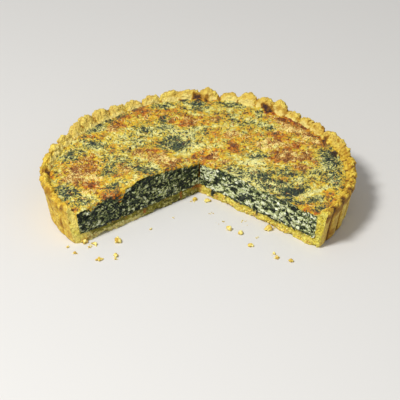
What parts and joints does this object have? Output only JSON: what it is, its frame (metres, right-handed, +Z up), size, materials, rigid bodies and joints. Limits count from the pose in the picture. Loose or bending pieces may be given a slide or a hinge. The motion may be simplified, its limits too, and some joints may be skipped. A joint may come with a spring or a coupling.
{
  "type": "ricotta and spinach pie",
  "caption": "Round open pie in a fluted shortcrust case, filled with ricotta and chopped spinach under a browned top, with a wide wedge cut out so that its layers show.",
  "frame": {"origin": "middle of the footprint, on the flat underside", "axes": "+Z up; the missing wedge opens towards -Y; +X to the right as seen from the open wedge"},
  "size_m": [0.2584, 0.2068, 0.0401],
  "materials": {
    "crust": "baked golden shortcrust, dry and slightly rough",
    "filling": "ricotta and spinach custard, browned and lightly moist on top, dark green at the cut"
  },
  "bodies": {
    "root": {"crust": "crust", "filling": "filling"}
  },
  "joints": []
}
